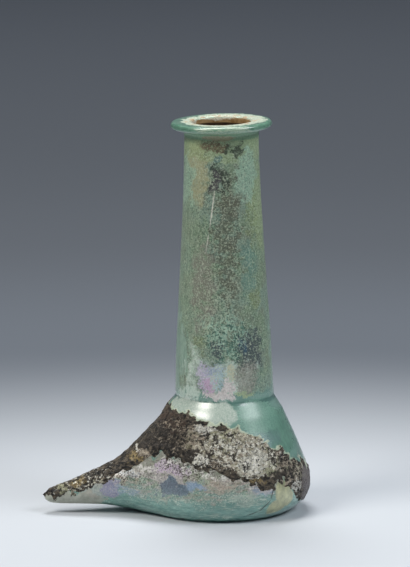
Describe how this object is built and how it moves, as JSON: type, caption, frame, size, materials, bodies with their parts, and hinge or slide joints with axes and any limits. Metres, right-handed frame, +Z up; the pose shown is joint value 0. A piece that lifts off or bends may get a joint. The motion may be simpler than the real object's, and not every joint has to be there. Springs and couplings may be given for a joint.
{
  "type": "glass perfume flask",
  "caption": "Hand-blown glass perfume flask with a tall tapering neck, a flat rim and a low body drawn out to one side into a blunt hollow horn.",
  "frame": {"origin": "on the resting plane under the foot of the neck, 0.2 mm from the axis of the neck there", "axes": "+Z up out of the mouth, -X along the horn, and the flask is symmetric about the XZ plane"},
  "size_m": [0.0877, 0.0572, 0.1292],
  "materials": {
    "glass": "old blue-green glass, milky on the neck and clear on the shoulder and rim",
    "crust": "rough dark brown burial crust with cream and silvery flakes",
    "film": "thin iridescent weathering film, pink, violet, blue and cream",
    "deposit": "dry ochre soil inside the mouth and the body"
  },
  "bodies": {
    "root": {"flask": "glass"}
  },
  "joints": []
}
